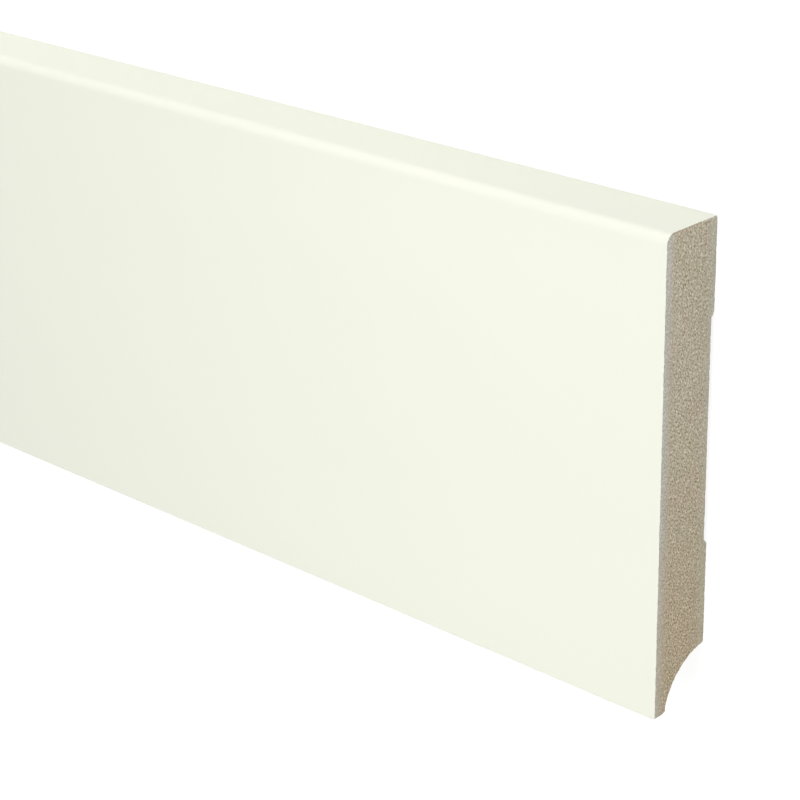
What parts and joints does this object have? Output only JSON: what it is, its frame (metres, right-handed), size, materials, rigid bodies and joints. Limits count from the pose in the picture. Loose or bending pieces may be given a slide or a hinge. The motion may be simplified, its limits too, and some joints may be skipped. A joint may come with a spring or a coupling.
{
  "type": "skirting board length",
  "caption": "Square skirting board with a rounded top arris, a relieved back that leaves two wall lands, and a cable cove behind a thin foot.",
  "frame": {"origin": "on the plane of the back, under the middle of the board's length and height", "axes": "the board lies on its back: +X along its length, +Y from the floor edge to the top edge, +Z out of the face"},
  "size_m": [2.4, 0.12, 0.018],
  "materials": {
    "factory_coat": "satin",
    "sawn_fibreboard": "matte"
  },
  "bodies": {
    "root": {"skirting_board": "factory_coat"}
  },
  "joints": []
}
